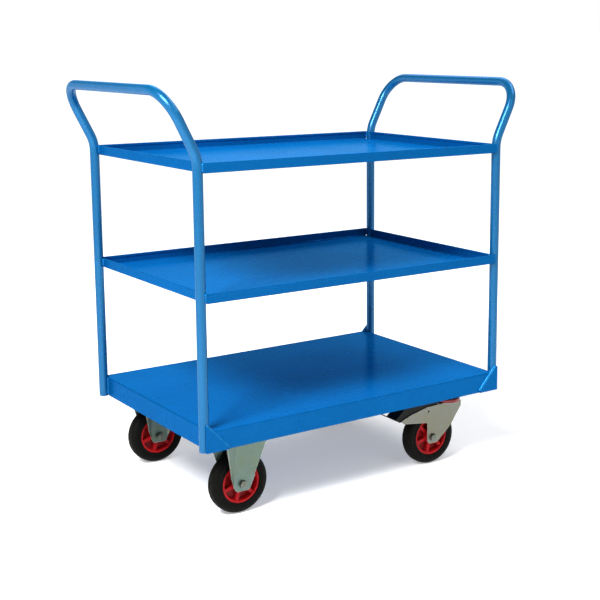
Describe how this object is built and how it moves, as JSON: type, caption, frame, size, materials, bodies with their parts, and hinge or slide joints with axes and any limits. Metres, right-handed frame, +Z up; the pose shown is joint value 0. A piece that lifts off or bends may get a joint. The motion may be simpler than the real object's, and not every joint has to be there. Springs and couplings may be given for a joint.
{
  "type": "shelf trolley",
  "caption": "Steel shelf trolley with a low deck, two raised-edge shelves, a tubular push handle at each end, fixed castors at one end and braked swivel castors at the other.",
  "frame": {"origin": "on the floor under the middle of the trolley", "axes": "+X along the trolley towards the braked swivel castors, +Y across it, +Z up"},
  "size_m": [1.107, 0.626, 1.0765],
  "materials": {
    "blue_paint": "semi-gloss powder coat",
    "zinc": "zinc plated",
    "tyre_rubber": "satin rubber",
    "wheel_plastic": "moulded, slightly glossy",
    "bearing_steel": "ground steel",
    "ring_plastic": "moulded",
    "pedal_black": "black coated",
    "shoe_rubber": "moulded rubber",
    "cap_plastic": "moulded"
  },
  "bodies": {
    "chassis": {"base_deck": "blue_paint", "castor_bolts": "zinc", "castor_channel_left": "blue_paint", "castor_channel_right": "blue_paint", "castor_nuts": "zinc", "castor_washers": "zinc", "deck_rib": "blue_paint", "deck_welds": "blue_paint", "end_frame_left": "blue_paint", "end_frame_right": "blue_paint", "fixed_axle_bolts": "zinc", "fixed_axle_nuts": "zinc", "fixed_axle_sleeves": "zinc", "fixed_bracket_back": "zinc", "fixed_bracket_front": "zinc", "gusset_back_left": "blue_paint", "gusset_back_right": "blue_paint", "gusset_front_left": "blue_paint", "gusset_front_right": "blue_paint", "gusset_welds": "blue_paint", "king_nuts": "zinc", "king_pins": "zinc", "middle_shelf": "blue_paint", "middle_shelf_welds": "blue_paint", "post_caps": "cap_plastic", "swivel_plate_back": "zinc", "swivel_plate_front": "zinc", "top_shelf": "blue_paint", "top_shelf_welds": "blue_paint"},
    "wheel_fixed_front": {"tyre_fixed_front": "tyre_rubber", "wheel_centre_fixed_front": "wheel_plastic", "wheel_bearing_fixed_front": "bearing_steel"},
    "wheel_fixed_back": {"tyre_fixed_back": "tyre_rubber", "wheel_centre_fixed_back": "wheel_plastic", "wheel_bearing_fixed_back": "bearing_steel"},
    "wheel_swivel_front": {"tyre_swivel_front": "tyre_rubber", "wheel_centre_swivel_front": "wheel_plastic", "wheel_bearing_swivel_front": "bearing_steel"},
    "wheel_swivel_back": {"tyre_swivel_back": "tyre_rubber", "wheel_centre_swivel_back": "wheel_plastic", "wheel_bearing_swivel_back": "bearing_steel"},
    "castor_front": {"swivel_fork_front": "zinc", "dust_ring_front": "ring_plastic", "race_balls_front": "bearing_steel", "brake_pivots_front": "zinc", "swivel_axle_bolt_front": "zinc", "swivel_axle_nut_front": "zinc", "swivel_axle_sleeve_front": "zinc"},
    "brake_front": {"brake_pedal_front": "pedal_black", "brake_shoe_front": "shoe_rubber"},
    "castor_back": {"swivel_fork_back": "zinc", "dust_ring_back": "ring_plastic", "race_balls_back": "bearing_steel", "brake_pivots_back": "zinc", "swivel_axle_bolt_back": "zinc", "swivel_axle_nut_back": "zinc", "swivel_axle_sleeve_back": "zinc"},
    "brake_back": {"brake_pedal_back": "pedal_black", "brake_shoe_back": "shoe_rubber"}
  },
  "joints": [
    {"name": "spin_fixed_front", "type": "hinge", "parent": "chassis", "child": "wheel_fixed_front", "pos_m": [-0.338, -0.2325, 0.08], "axis": [0, 1, 0], "continuous": true},
    {"name": "spin_fixed_back", "type": "hinge", "parent": "chassis", "child": "wheel_fixed_back", "pos_m": [-0.338, 0.2325, 0.08], "axis": [0, 1, 0], "continuous": true},
    {"name": "swivel_front", "type": "hinge", "parent": "chassis", "child": "castor_front", "pos_m": [0.3455, -0.2325, 0.178], "axis": [0, 0, 1], "continuous": true},
    {"name": "swivel_back", "type": "hinge", "parent": "chassis", "child": "castor_back", "pos_m": [0.3455, 0.2325, 0.178], "axis": [0, 0, 1], "continuous": true},
    {"name": "spin_swivel_front", "type": "hinge", "parent": "castor_front", "child": "wheel_swivel_front", "pos_m": [0.27956, -0.22962, 0.08], "axis": [0.0436, 0.999, 0], "continuous": true},
    {"name": "spin_swivel_back", "type": "hinge", "parent": "castor_back", "child": "wheel_swivel_back", "pos_m": [0.2795, 0.2325, 0.08], "axis": [0, 1, 0], "continuous": true},
    {"name": "brake_press_front", "type": "hinge", "parent": "castor_front", "child": "brake_front", "pos_m": [0.26408, -0.22895, 0.157], "axis": [-0.0436, -0.999, 0], "range_deg": [0, 8]},
    {"name": "brake_press_back", "type": "hinge", "parent": "castor_back", "child": "brake_back", "pos_m": [0.264, 0.2325, 0.157], "axis": [0, -1, 0], "range_deg": [0, 8]}
  ]
}
